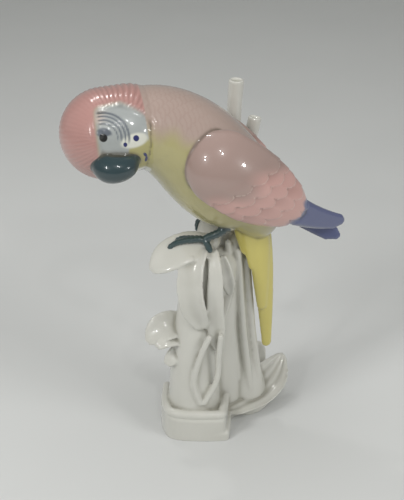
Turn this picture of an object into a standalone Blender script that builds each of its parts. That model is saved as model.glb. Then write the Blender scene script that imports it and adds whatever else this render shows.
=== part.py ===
"""A parrot bowing from a leafy stump, cast, painted and glazed as one piece of porcelain.

Metres, +Z up. The origin is on the flat foot, below the middle of the stump. The bird's head is
towards -X, its wing tips are towards +X, and the side that it shows is -Y.
"""

import math

import bpy
from mathutils import Vector
from mathutils.geometry import intersect_line_plane

MM = 0.001
UP = Vector((0, 0, 1))

# Foot and stump
FOOT_HEIGHT = 6 * MM
FOOT_BELOW = 4 * MM
BLOCK_HEIGHT = 18 * MM
BLOCK_RIM_RADIUS = 2.4 * MM
STUMP_HEIGHT = 106 * MM
FRONT_TRUNK_RADIUS = 12 * MM
CORE_RADIUS = 10.5 * MM
REAR_TRUNK_RADIUS = 9 * MM
BARK_RIDGE_RADIUS = 1.8 * MM
KNOB_RADIUS = 6.3 * MM
LIMB_LENGTH = 96 * MM
LIMB_RADIUS = 3.9 * MM
SIDE_TWIG_LENGTH = 31 * MM
SIDE_TWIG_RADIUS = 3.5 * MM

# Leaves
LEAF_THICKNESS = 1.9 * MM
OVERHANG_LEAF_LENGTH = 36 * MM
OVERHANG_LEAF_HALF_WIDTH = 8.5 * MM
SPOON_LEAF_LENGTH = 49 * MM
SPOON_LEAF_HALF_WIDTH = 6.5 * MM
LONG_LEAF_LENGTH = 62 * MM
LONG_LEAF_HALF_WIDTH = 4.6 * MM
CURL_LEAF_LENGTH = 24 * MM
CURL_LEAF_HALF_WIDTH = 3.3 * MM
TWIG_LENGTH = 33 * MM
TWIG_HALF_WIDTH = 2.1 * MM
SHELL_LEAF_LENGTH = 52 * MM
SHELL_LEAF_HALF_WIDTH = 9.5 * MM
REAR_LEAF_LENGTH = 24 * MM
REAR_LEAF_HALF_WIDTH = 6 * MM
FAN_LEAF_LENGTH = 29 * MM
FAN_LEAF_HALF_WIDTH = 7.5 * MM

# Bird
LEG_HEIGHT = 9.5 * MM
LEG_RADIUS = 1.9 * MM
TOE_LENGTH = 19 * MM
TOE_RADIUS = 1.6 * MM
THIGH_RADIUS = 6 * MM
BODY_RADIUS = 24 * MM
HIP_BEHIND_PERCH = 9 * MM
HIP_INWARD = 8 * MM
BREAST_LENGTH = 52.7 * MM
RUMP_LENGTH = 37 * MM
BACK_LENGTH = 50 * MM
HEAD_RADIUS = 19.4 * MM
HEAD_LENGTHENING = 11 * MM
HOOD_THICKNESS = 1.6 * MM
HOOD_RIDGES = 56
HOOD_RIDGE_HEIGHT = 0.3 * MM
EYE_RADIUS = 1.9 * MM
BEAK_LENGTH = 19 * MM
BEAK_RADIUS = 6.8 * MM
WING_LENGTH = 103 * MM
WING_HALF_WIDTH = 17.5 * MM
WING_THICKNESS = 5.6 * MM
FAR_WING_DROP = 9 * MM
FAR_WING_INWARD = 5 * MM
COVERT_SHARE = 0.71
WING_BOW = 0.16
TAIL_LENGTH = 80 * MM
TAIL_HALF_WIDTH = 7 * MM

# Directions, as (azimuth, pitch) in degrees
FACE_HEADING = (-68, -24)
CROWN_HEADING = (-164, -13)
SIDE_HEADING = (-90, 20)
# The hood's ridges fan out from here, as shares forward, sideways and up through the crown
RIDGE_CENTRE = Vector((0.75, 0.64, -0.13))

# Mesh
GRID = 0.8 * MM
ROUNDING_PASSES = 3
TRIANGLES = 11200
STATIONS = 40
SIDES = 32

GLAZE_COLOUR = (0.72, 0.70, 0.66, 1.0)
GLAZE_ROUGHNESS = 0.12


def heading(azimuth, pitch):
    a, p = math.radians(azimuth), math.radians(pitch)
    return Vector((math.cos(p) * math.cos(a), math.cos(p) * math.sin(a), math.sin(p)))


def smooth_step(low, high, value):
    share = min(1.0, max(0.0, (value - low) / (high - low)))
    return share * share * (3 - 2 * share)


def along(values, share):
    """The value at a share of the way along evenly spaced numbers or vectors, on a smooth curve."""
    last = len(values) - 1
    place = min(max(share, 0.0), 1.0) * last
    i = min(int(place), last - 1)
    f = place - i
    b, c = values[i], values[i + 1]
    a = values[i - 1] if i else b * 2 - c
    d = values[i + 2] if i + 2 <= last else c * 2 - b
    bend = a * 2 - b * 5 + c * 4 - d
    turn = b * 3 - a - c * 3 + d
    return (b * 2 + (c - a) * f + bend * f**2 + turn * f**3) * 0.5


def route(start, length, headings):
    """Points a step apart from start, turning smoothly through the headings."""
    ways = [heading(*pair) for pair in headings]
    points = [start.copy()]
    for i in range(STATIONS):
        way = along(ways, (i + 0.5) / STATIONS).normalized()
        points.append(points[-1] + way * length / STATIONS)
    return points


def through(*places):
    return [along(list(places), i / STATIONS) for i in range(STATIONS + 1)]


def shares(size, *values):
    return [size * value for value in values]


class Forms:
    """Closed skins that are gathered before they are fused into one body."""

    def __init__(self):
        self.points = []
        self.faces = []

    def rings(self, rings):
        start = len(self.points)
        sides = len(rings[0])
        for ring in rings:
            self.points.extend(ring)
        for i in range(len(rings) - 1):
            for j in range(sides):
                k = (j + 1) % sides
                low, high = start + i * sides, start + (i + 1) * sides
                self.faces.append((low + j, low + k, high + k, high + j))
        self.faces.append(tuple(start + j for j in reversed(range(sides))))
        self.faces.append(tuple(start + (len(rings) - 1) * sides + j for j in range(sides)))

    def sweep(self, points, side, wide, deep, cup=0.0, blunt=(True, True)):
        """A round-ended bar along points, wide along side, deep across it, its edges raised by cup."""
        steps = [(b - a).length for a, b in zip(points, points[1:])]
        total = sum(steps)
        rings = []
        gone = 0.0
        for i, point in enumerate(points):
            before, after = points[max(i - 1, 0)], points[min(i + 1, len(points) - 1)]
            way = (after - before).normalized()
            across = (side - way * side.dot(way)).normalized()
            out = way.cross(across)
            share = gone / total
            w, d = along(wide, share), along(deep, share)
            end = 1.0
            if blunt[0] and gone < w:
                end = math.sqrt(max(0.03, 1 - (1 - gone / w) ** 2))
            if blunt[1] and total - gone < w:
                end = min(end, math.sqrt(max(0.03, 1 - (1 - (total - gone) / w) ** 2)))
            ring = []
            for j in range(SIDES):
                turn = math.tau * j / SIDES
                x, y = math.cos(turn), math.sin(turn)
                ring.append(point + across * w * end * x + out * (d * end * y + cup * w * end * x * x))
            rings.append(ring)
            gone += steps[i] if i < len(steps) else 0.0
        self.rings(rings)

    def rod(self, points, *radii, blunt=(True, True)):
        side = (points[-1] - points[0]).orthogonal()
        values = list(radii) if len(radii) > 1 else [radii[0], radii[0]]
        self.sweep(points, side, values, values, blunt=blunt)

    def ball(self, centre, radius, shape=None, rows=24):
        """A ball, or one whose radius is shape(direction)."""
        rings = []
        for i in range(rows + 1):
            tilt = math.pi * min(max(i / rows, 0.01), 0.99)
            ring = []
            for j in range(2 * rows):
                turn = math.pi * j / rows
                flat = math.sin(tilt)
                way = Vector((flat * math.cos(turn), flat * math.sin(turn), -math.cos(tilt)))
                ring.append(centre + way * (shape(way) if shape else radius))
            rings.append(ring)
        self.rings(rings)

    def slab(self, outline, bottom, top, inset):
        """A closed outline raised from bottom to top, its upper edge drawn in by inset."""
        count = 6 * len(outline)
        closed = outline[-1:] + outline + outline[:2]
        places = [along(closed, (1 + len(outline) * i / count) / (len(closed) - 1)) for i in range(count)]
        middle = sum(places, Vector((0, 0))) / count
        rings = []
        for height, draw in ((bottom, 0.0), (top - inset, 0.0), (top, inset)):
            ring = []
            for place in places:
                spot = place + (middle - place).normalized() * draw
                ring.append(Vector((spot.x, spot.y, height)))
            rings.append(ring)
        self.rings(rings)


def spot(x, y, share):
    """A place in plan, at a share of the stump's height."""
    return Vector((x * MM, y * MM, share * STUMP_HEIGHT))


def plan(pairs):
    return [Vector((x * MM, y * MM)) for x, y in pairs]


# Seen from above, in mm
FOOT_OUTLINE = (
    (-27, -20), (-20, -28), (4, -29), (8, -24), (10, -8), (18, 3), (33, 9),
    (39, 18), (33, 29), (12, 33), (-10, 28), (-24, 14), (-28, -4),
)
BLOCK_OUTLINE = ((-28, -19), (-21, -28), (2, -29), (6, -24), (7, -10), (2, 4), (-20, 4), (-28, -6))
BLOCK_RIM = ((-26, 1), (-26, -18), (-20, -25.5), (1, -26.5), (4, -23), (5, -9), (1, 0))

PERCH = spot(-4, -9, 1.0)
KNOB = spot(-3.2, 2, 1.06)


def foot(forms):
    """The low foot, the square block in front and the raised rim round the block's top."""
    top = BLOCK_HEIGHT - BLOCK_RIM_RADIUS
    forms.slab(plan(FOOT_OUTLINE), -FOOT_BELOW, FOOT_HEIGHT, FOOT_HEIGHT * 0.3)
    forms.slab(plan(BLOCK_OUTLINE), -FOOT_BELOW, top, BLOCK_RIM_RADIUS)
    rim = [Vector((p.x, p.y, top)) for p in plan(BLOCK_RIM)]
    forms.rod(through(*rim), BLOCK_RIM_RADIUS)


BARK_RIDGES = (
    # way round the rear trunk in degrees, then where it starts and ends along the trunk
    (-150, 0.16, 0.86),
    (-105, 0.22, 1.0),
    (-68, 0.12, 0.96),
    (-25, 0.08, 0.9),
)

KNOT_LIP = (
    # share of the front trunk, degrees to each side of the slit, then millimetres along the trunk's lean
    (0.14, 2, 1.8),
    (0.24, 26, 3.8),
    (0.38, 20, 5.8),
    (0.50, 12, 7.8),
)
KNOT_HEADING = -80


def trunks(forms):
    """Two trunks on a common core, with bark ridges, a knot slit and the knob behind the foot."""
    r = FRONT_TRUNK_RADIUS
    front = through(spot(-11, -12, 0.0), spot(-11, -12, 0.45), spot(-9, -11, 0.75), spot(-6, -9, 0.97))
    forms.rod(front, r * 1.28, r * 1.05, r * 0.85, r * 0.75, blunt=(False, True))
    for bow in (-1, 1):
        lip = []
        for at, spread, lean in KNOT_LIP:
            out = heading(KNOT_HEADING + spread * bow, 0) * r * 1.12
            lip.append(along(front, at) + out + Vector((lean * MM, 0, 0)))
        forms.rod(through(*lip), BARK_RIDGE_RADIUS * 0.9)
    core = through(spot(3, 1, 0.0), spot(2, 1, 0.5), spot(2, 1, 0.96))
    forms.rod(core, CORE_RADIUS * 1.3, CORE_RADIUS, CORE_RADIUS * 0.9, blunt=(False, True))
    r = REAR_TRUNK_RADIUS
    rear = through(spot(17, 6, 0.0), spot(13.5, 5, 0.3), spot(10, 5, 0.65), spot(8, 6, 1.01))
    forms.rod(rear, r * 1.55, r, r * 0.9, r * 0.82, blunt=(False, True))
    for turn, low, high in BARK_RIDGES:
        ridge = []
        for at in (low, (low + high) / 2, high):
            ridge.append(along(rear, at) + heading(turn, 0) * r * (1.15 - 0.3 * at))
        forms.rod(through(*ridge), BARK_RIDGE_RADIUS * 1.2, BARK_RIDGE_RADIUS)
    rise = (KNOB - spot(-4, -6, 0.97)).normalized() * KNOB_RADIUS
    forms.rod(through(KNOB - rise * 2, KNOB + rise), KNOB_RADIUS)


def limb(forms):
    """The branch that rises behind the bird, broken off at a slant, and the stub at its side."""
    line = route(spot(10.5, 8, 0.83), LIMB_LENGTH, [(97, 52), (93, 62), (80, 84), (20, 86)])
    r = LIMB_RADIUS
    forms.rod(line, r * 1.8, r * 1.4, r, r, blunt=(True, False))
    twig = route(along(line, 0.50), SIDE_TWIG_LENGTH, [(10, 48), (20, 70), (30, 80)])
    forms.rod(twig, SIDE_TWIG_RADIUS, blunt=(True, False))


LEAVES = (
    # root, length, half width, width shares along it, cup, headings along it, way that its face looks
    # overhanging leaf under the toes
    (spot(-1, -9, 1.02), OVERHANG_LEAF_LENGTH, OVERHANG_LEAF_HALF_WIDTH, (0.7, 0.95, 1, 0.9, 0.35), 0.1,
     ((-156, 12), (-160, 0), (-162, -30), (-162, -45)), (-90, 50)),
    # spoon-shaped leaf down the front
    (spot(-5, -13, 1.02), SPOON_LEAF_LENGTH, SPOON_LEAF_HALF_WIDTH, (0.55, 0.95, 1, 0.95, 0.5), 0.45,
     ((-140, -10), (-107, -68), (20, -75), (21, -65)), (-95, 20)),
    # long leaf beside it
    (spot(-2, -11, 1.01), LONG_LEAF_LENGTH, LONG_LEAF_HALF_WIDTH, (0.6, 0.85, 1, 1, 0.45), 0.3,
     ((-80, -23), (-100, -85), (53, -82), (48, -79)), (-85, 10)),
    # short curled leaf
    (spot(3, -11, 0.98), CURL_LEAF_LENGTH, CURL_LEAF_HALF_WIDTH, (0.6, 1, 1, 0.45), 0.5,
     ((-57, -65), (-46, -72), (57, -76), (51, -77)), (-90, 10)),
    # twig across the trunks
    (spot(8.5, -4, 0.80), TWIG_LENGTH, TWIG_HALF_WIDTH, (1, 1, 0.85, 0.6), 0.0,
     ((-121, -63), (-125, -64), (-128, -66)), (-90, 10)),
    # shell-shaped leaf on the foot
    (spot(4, -13, 0.07), SHELL_LEAF_LENGTH, SHELL_LEAF_HALF_WIDTH, (0.7, 0.95, 1.05, 0.95, 0.25), 0.5,
     ((35, 7), (38, 2), (50, 24), (56, 50)), (-50, 62)),
    # small leaf behind it
    (spot(21, 12, 0.07), REAR_LEAF_LENGTH, REAR_LEAF_HALF_WIDTH, (0.85, 1, 0.85, 0.6), 0.3,
     ((74, 49), (73, 55), (64, 79)), (-80, 10)),
    # fan of three at the left
    (spot(-12, -9, 0.53), FAN_LEAF_LENGTH, FAN_LEAF_HALF_WIDTH, (0.55, 0.95, 1, 0.4), 0.3,
     ((-164, 42), (-162, 24), (-158, -32), (-157, -53)), (-90, 45)),
    (spot(-13, -11, 0.52), FAN_LEAF_LENGTH * 0.72, FAN_LEAF_HALF_WIDTH * 0.6, (0.7, 1, 0.9, 0.45), 0.3,
     ((-144, 15), (-150, 5), (-152, -41)), (-90, 45)),
    (spot(-13, -11, 0.49), FAN_LEAF_LENGTH * 0.64, FAN_LEAF_HALF_WIDTH * 0.55, (0.75, 1, 1, 0.6), 0.2,
     ((-135, -11), (-150, -35), (-165, -61)), (-90, 45)),
)


def leaves(forms):
    """Cupped leaves, each swept from its root."""
    for root, length, half_width, profile, cup, headings, facing in LEAVES:
        line = route(root, length, headings)
        side = (line[-1] - line[0]).cross(heading(*facing)).normalized()
        forms.sweep(line, side, shares(half_width, *profile), [LEAF_THICKNESS] * 2, -cup)


HIP = PERCH + Vector((HIP_BEHIND_PERCH, HIP_INWARD, LEG_HEIGHT + BODY_RADIUS))
TO_NECK = route(HIP, BREAST_LENGTH, [(-175, 44), (-171, 50), (-169, 33), (-160, 5)])
TO_RUMP = route(HIP, RUMP_LENGTH, [(5, -42), (5, -48), (8, -72), (20, -85)])
NECK_WAY = heading(-168, -4)
HEAD = TO_NECK[-1] + NECK_WAY * HEAD_RADIUS * 0.86


def body(forms):
    """Neck, breast and rump in one sweep, the back that narrows to the wing tips, and the thigh."""
    line = list(reversed(TO_NECK)) + TO_RUMP[1:]
    side = heading(*SIDE_HEADING)
    girth = shares(BODY_RADIUS, 0.80, 0.87, 0.94, 0.99, 1.0, 0.95, 0.80, 0.56, 0.34)
    forms.sweep(line, side, girth, girth, blunt=(False, True))
    back = route(HIP, BACK_LENGTH, [(4, -24), (2, -26), (-6, -30)])
    wide = shares(BODY_RADIUS, 0.90, 0.78, 0.50, 0.18)
    deep = shares(BODY_RADIUS, 0.80, 0.60, 0.36, 0.10)
    forms.sweep(back, side, wide, deep)
    hock = PERCH + Vector((HIP_BEHIND_PERCH * 0.8, HIP_INWARD * 0.2, LEG_HEIGHT))
    forms.rod(through(along(TO_RUMP, 0.30), hock), THIGH_RADIUS * 1.9, THIGH_RADIUS * 0.8)


def head_frame():
    front = heading(*FACE_HEADING)
    crown = heading(*CROWN_HEADING)
    crown = (crown - front * crown.dot(front)).normalized()
    return front, crown.cross(front), crown


def stretched(way, radius):
    """How far a ball of this radius reaches when it is lengthened towards the body."""
    cosine = -way.dot(NECK_WAY)
    sine = math.sqrt(max(0.0, 1 - cosine * cosine))
    if cosine <= 0:
        return radius
    if radius * cosine <= HEAD_LENGTHENING * sine:
        return radius / sine
    return HEAD_LENGTHENING * cosine + math.sqrt(radius**2 - (HEAD_LENGTHENING * sine) ** 2)


def hood(way):
    """The head's radius: a ridged hood all round the back, lower on the two cheeks and the face."""
    front, left, crown = head_frame()
    f, side, c = way.dot(front), abs(way.dot(left)), way.dot(crown)
    behind = 0.09 + 1.2 * max(0.0, -c - 0.45)
    above = 0.05 + 0.30 * f
    face = smooth_step(behind - 0.05, behind + 0.05, f) * smooth_step(c - 0.05, c + 0.05, above)
    local = Vector((f, side, c))
    axis = RIDGE_CENTRE.normalized()
    down = (axis.cross(Vector((0, 1, 0)))).normalized()
    turn = math.atan2(local.dot(axis.cross(down)), local.dot(down))
    ridge = math.cos(HOOD_RIDGES * turn) * HOOD_RIDGE_HEIGHT
    return stretched(way, HEAD_RADIUS + (HOOD_THICKNESS + ridge) * (1 - face))


def head(forms):
    """The ball of the head in its hood, with eyes, the hooked beak and the bib below it."""
    front, left, crown = head_frame()
    forms.ball(HEAD, HEAD_RADIUS, hood, rows=64)
    for side in (left, -left):
        eye = (side * 0.75 + front * 0.64 + crown * 0.18).normalized()
        forms.ball(HEAD + eye * (HEAD_RADIUS - EYE_RADIUS * 0.45), EYE_RADIUS)
    r = HEAD_RADIUS
    root = HEAD + (front * 0.62 + crown * 0.20) * r
    bends = ((0, 0), (0.42, 0.02), (0.55, -0.34), (0.32, -0.72))
    beak = through(*[root + (front * ahead + crown * rise) * BEAK_LENGTH for ahead, rise in bends])
    forms.rod(beak, *shares(BEAK_RADIUS, 0.95, 1.0, 0.8, 0.34))
    bib = HEAD + (front * 0.62 - crown * 0.55) * r
    chin = through(bib + (front * 0.1 + crown * 0.25) * r, bib - crown * 0.47 * r)
    forms.sweep(chin, left, shares(r, 0.46, 0.66), shares(r, 0.36, 0.40))


def mirrored(points):
    """Points on the bird's other side."""
    axis = TO_RUMP[STATIONS // 2] - TO_NECK[STATIONS // 2]
    normal = axis.cross(heading(*SIDE_HEADING)).cross(axis).normalized()
    far = []
    for point in points:
        near = intersect_line_plane(point, point + normal, HIP, normal)
        far.append(near * 2 - point)
    return far


def wings(forms):
    """Two folded wings: a full covert shield, and the long flight feathers that leave from under it."""
    out = heading(*SIDE_HEADING)
    shoulder = along(TO_NECK, 0.50) + out * BODY_RADIUS * 0.82
    line = route(shoulder, WING_LENGTH, [(-26, -21), (18, -37), (36, -33), (34, -20)])
    shift = Vector((0, FAR_WING_INWARD, FAR_WING_DROP))
    far = [point - shift * (i / STATIONS) ** 2 for i, point in enumerate(mirrored(line))]
    w, t = WING_HALF_WIDTH, WING_THICKNESS
    last_covert = round(COVERT_SHARE * STATIONS)
    for points, bow in ((line, 1), (far, -1)):
        side = (points[-1] - points[0]).cross(out).normalized()
        wide = shares(w, 0.9, 1.0, 1.03, 1.02, 0.90, 0.70, 0.42)
        deep = shares(t, 1.0, 1.15, 1.1, 1.0, 0.85, 0.7, 0.55)
        forms.sweep(points[:last_covert], side, wide, deep, WING_BOW * bow)
        for low, length in FLIGHT_FEATHERS:
            feather = []
            for i in range(STATIONS // 2, round(STATIONS * length) + 1):
                spread = 1.6 - 1.2 * (i / STATIONS)
                feather.append(points[i] + side * w * low * spread - out * bow * t * 0.12)
            wide = shares(w, 0.24, 0.19, 0.15, 0.11)
            deep = shares(t, 0.5, 0.42, 0.32, 0.2)
            forms.sweep(feather, side, wide, deep, WING_BOW * bow)


FLIGHT_FEATHERS = (
    # offset below the wing's middle line in wing half widths, then length as a share of the wing
    (-0.22, 0.98),
    (-0.08, 1.00),
    (0.06, 1.00),
    (0.20, 0.985),
    (0.34, 0.96),
)

TAIL_FEATHERS = (
    # length as a share of the tail, then how far its root is ahead and near the viewer, in tail half widths
    (1.00, 0.0, 0.0),
    (0.68, 0.15, 0.35),
    (0.68, 0.15, -0.45),
    (0.37, 0.5, 0.5),
    (0.26, 0.95, 0.4),
)


def tail(forms):
    """Narrow feathers stepped in length, hanging straight down from the rump."""
    w = TAIL_HALF_WIDTH
    for share, ahead, near in TAIL_FEATHERS:
        start = along(TO_RUMP, 0.70) + Vector((-ahead, -near, 0)) * w
        line = route(start, TAIL_LENGTH * share, [(0, -80), (12, -84), (12, -86), (12, -87)])
        wide = shares(w, 0.9, 0.8, 0.6, 0.35)
        deep = shares(w, 0.45, 0.4, 0.3, 0.2)
        forms.sweep(line, Vector((1, 0.25, 0)), wide, deep)


def feet(forms):
    """The near leg with its toes laid along the perch, and the far foot on the knob."""
    ankle = PERCH + Vector((-LEG_RADIUS, -TOE_RADIUS * 1.8, LEG_HEIGHT * 0.74))
    knee = PERCH + Vector((HIP_BEHIND_PERCH, HIP_INWARD * 0.1, LEG_HEIGHT * 1.3))
    forms.rod(through(along(TO_RUMP, 0.12), knee, ankle), LEG_RADIUS * 1.4, LEG_RADIUS)
    for turn in (-168, 178):
        toe = route(ankle, TOE_LENGTH, [(turn, 4), (turn, 0), (turn, -12), (turn, -55)])
        forms.rod(toe, TOE_RADIUS * 1.1, TOE_RADIUS, TOE_RADIUS * 0.8)
    back = route(ankle, TOE_LENGTH * 0.4, [(-40, -40), (-60, -70)])
    forms.rod(back, TOE_RADIUS)
    ways = ((-0.5, 0.1, 0.9), (-0.95, -0.1, 0.4), (-0.95, -0.3, -0.3))
    grip = [KNOB + Vector(way) * KNOB_RADIUS for way in ways]
    forms.rod(through(along(TO_RUMP, 0.10), grip[0]), LEG_RADIUS * 1.4, LEG_RADIUS)
    forms.rod(through(*grip), TOE_RADIUS, TOE_RADIUS * 0.7)


def porcelain():
    material = bpy.data.materials.new("glazed_porcelain")
    material.use_nodes = True
    shader = material.node_tree.nodes["Principled BSDF"]
    shader.inputs["Base Color"].default_value = GLAZE_COLOUR
    shader.inputs["Roughness"].default_value = GLAZE_ROUGHNESS
    return material


def new_object(name, forms):
    mesh = bpy.data.meshes.new(name)
    mesh.from_pydata(forms.points, [], forms.faces)
    mesh.update()
    thing = bpy.data.objects.new(name, mesh)
    bpy.context.scene.collection.objects.link(thing)
    return thing


def floor_cutter():
    """Takes off all that reaches below the foot, which leaves it flat."""
    forms = Forms()
    r = STUMP_HEIGHT
    corners = ((-r, -r), (r, -r), (r, r), (-r, r))
    forms.rings([[Vector((x, y, z)) for x, y in corners] for z in (-4 * FOOT_BELOW, 0.0)])
    cutter = new_object("floor_cutter", forms)
    cutter.hide_render = True
    cutter.display_type = "WIRE"
    return cutter


def fuse(thing):
    """One rounded body from the overlapping forms, thinned to a light mesh and cut flat below."""
    skin = thing.modifiers.new("skin", "REMESH")
    skin.mode = "VOXEL"
    skin.voxel_size = GRID
    soften = thing.modifiers.new("soften", "SMOOTH")
    soften.factor = 0.5
    soften.iterations = ROUNDING_PASSES
    bpy.context.view_layer.update()
    dense = thing.evaluated_get(bpy.context.evaluated_depsgraph_get()).data
    thin = thing.modifiers.new("thin", "DECIMATE")
    thin.ratio = TRIANGLES / (2 * len(dense.polygons))
    cut = thing.modifiers.new("flat_foot", "BOOLEAN")
    cut.operation = "DIFFERENCE"
    cut.solver = "EXACT"
    cut.object = floor_cutter()


def main():
    for old in list(bpy.data.objects):
        bpy.data.objects.remove(old, do_unlink=True)
    forms = Forms()
    for make in (foot, trunks, limb, leaves, body, head, wings, tail, feet):
        make(forms)
    figurine = new_object("figurine", forms)
    fuse(figurine)
    figurine.data.materials.append(porcelain())
    figurine.data.shade_smooth()


main()
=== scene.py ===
"""The painted and glazed porcelain parrot on its stump: fine relief, paint, glaze, light and camera.

Metres, +Z up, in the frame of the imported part. The figure is one piece of porcelain, shown here as two
meshes that overlap where they are cast together: the painted bird and the white stump.
"""

import math

import bmesh
import bpy
import numpy as np
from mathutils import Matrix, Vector
from mathutils.geometry import intersect_line_plane


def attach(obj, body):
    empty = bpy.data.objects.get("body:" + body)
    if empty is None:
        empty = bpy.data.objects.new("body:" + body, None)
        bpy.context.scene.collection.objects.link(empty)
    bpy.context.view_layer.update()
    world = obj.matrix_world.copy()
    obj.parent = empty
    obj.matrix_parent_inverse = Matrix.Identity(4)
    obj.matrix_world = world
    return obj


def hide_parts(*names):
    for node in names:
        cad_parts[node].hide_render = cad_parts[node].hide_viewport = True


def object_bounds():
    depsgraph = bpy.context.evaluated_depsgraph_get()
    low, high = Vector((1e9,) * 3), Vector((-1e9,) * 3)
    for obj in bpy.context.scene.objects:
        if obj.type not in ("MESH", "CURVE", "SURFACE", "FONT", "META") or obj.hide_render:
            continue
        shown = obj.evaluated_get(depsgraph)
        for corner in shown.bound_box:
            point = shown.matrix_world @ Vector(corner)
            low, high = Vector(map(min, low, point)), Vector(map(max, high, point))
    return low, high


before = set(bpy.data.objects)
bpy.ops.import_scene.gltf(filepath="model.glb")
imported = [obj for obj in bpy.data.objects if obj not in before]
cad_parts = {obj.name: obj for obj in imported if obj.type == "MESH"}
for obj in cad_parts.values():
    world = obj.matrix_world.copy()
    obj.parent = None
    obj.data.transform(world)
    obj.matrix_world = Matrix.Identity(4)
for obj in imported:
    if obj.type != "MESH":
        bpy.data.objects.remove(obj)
CAD_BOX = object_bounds()

MM = 0.001

# Foot and stump, as in the part's source
FOOT_HEIGHT = 6 * MM
FOOT_BELOW = 4 * MM
BLOCK_HEIGHT = 18 * MM
BLOCK_RIM_RADIUS = 2.4 * MM
STUMP_HEIGHT = 106 * MM
FRONT_TRUNK_RADIUS = 12 * MM
CORE_RADIUS = 10.5 * MM
REAR_TRUNK_RADIUS = 9 * MM
BARK_RIDGE_RADIUS = 1.8 * MM
KNOB_RADIUS = 6.3 * MM
LIMB_LENGTH = 96 * MM
LIMB_RADIUS = 3.9 * MM
SIDE_TWIG_LENGTH = 31 * MM
SIDE_TWIG_RADIUS = 3.5 * MM

# Leaves
LEAF_THICKNESS = 1.9 * MM
OVERHANG_LEAF_LENGTH = 36 * MM
OVERHANG_LEAF_HALF_WIDTH = 8.5 * MM
SPOON_LEAF_LENGTH = 49 * MM
SPOON_LEAF_HALF_WIDTH = 6.5 * MM
LONG_LEAF_LENGTH = 62 * MM
LONG_LEAF_HALF_WIDTH = 4.6 * MM
CURL_LEAF_LENGTH = 24 * MM
CURL_LEAF_HALF_WIDTH = 3.3 * MM
TWIG_LENGTH = 33 * MM
TWIG_HALF_WIDTH = 2.1 * MM
SHELL_LEAF_LENGTH = 52 * MM
SHELL_LEAF_HALF_WIDTH = 9.5 * MM
REAR_LEAF_LENGTH = 24 * MM
REAR_LEAF_HALF_WIDTH = 6 * MM
FAN_LEAF_LENGTH = 29 * MM
FAN_LEAF_HALF_WIDTH = 7.5 * MM

# Bird
LEG_HEIGHT = 9.5 * MM
LEG_RADIUS = 1.9 * MM
TOE_LENGTH = 19 * MM
TOE_RADIUS = 1.6 * MM
THIGH_RADIUS = 6 * MM
BODY_RADIUS = 24 * MM
HIP_BEHIND_PERCH = 9 * MM
HIP_INWARD = 8 * MM
BREAST_LENGTH = 52.7 * MM
RUMP_LENGTH = 37 * MM
BACK_LENGTH = 50 * MM
HEAD_RADIUS = 19.4 * MM
HEAD_LENGTHENING = 11 * MM
HOOD_THICKNESS = 1.6 * MM
HOOD_RIDGES = 56
EYE_RADIUS = 1.9 * MM
BEAK_LENGTH = 19 * MM
BEAK_RADIUS = 6.8 * MM
WING_LENGTH = 103 * MM
WING_HALF_WIDTH = 17.5 * MM
WING_THICKNESS = 5.6 * MM
WING_BOW = 0.16
COVERT_SHARE = 0.71
FAR_WING_DROP = 9 * MM
FAR_WING_INWARD = 5 * MM
TAIL_LENGTH = 80 * MM
TAIL_HALF_WIDTH = 7 * MM

# Directions, as (azimuth, pitch) in degrees
FACE_HEADING = (-68, -24)
CROWN_HEADING = (-164, -13)
SIDE_HEADING = (-90, 20)
RIDGE_CENTRE = Vector((0.75, 0.64, -0.13))

# Mesh
GRID = 0.64 * MM
ROUNDING_PASSES = 4
STATIONS = 60
SIDES = 48


def heading(azimuth, pitch):
    a, p = math.radians(azimuth), math.radians(pitch)
    return Vector((math.cos(p) * math.cos(a), math.cos(p) * math.sin(a), math.sin(p)))


def along(values, share):
    """The value at a share of the way along evenly spaced numbers or vectors, on a smooth curve."""
    last = len(values) - 1
    place = min(max(share, 0.0), 1.0) * last
    i = min(int(place), last - 1)
    f = place - i
    b, c = values[i], values[i + 1]
    a = values[i - 1] if i else b * 2 - c
    d = values[i + 2] if i + 2 <= last else c * 2 - b
    bend = a * 2 - b * 5 + c * 4 - d
    turn = b * 3 - a - c * 3 + d
    return (b * 2 + (c - a) * f + bend * f**2 + turn * f**3) * 0.5


def route(start, length, headings):
    """Points a step apart from start, turning smoothly through the headings."""
    ways = [heading(*pair) for pair in headings]
    points = [start.copy()]
    for i in range(STATIONS):
        way = along(ways, (i + 0.5) / STATIONS).normalized()
        points.append(points[-1] + way * length / STATIONS)
    return points


def through(*places):
    return [along(list(places), i / STATIONS) for i in range(STATIONS + 1)]


def shares(size, *values):
    return [size * value for value in values]


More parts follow.
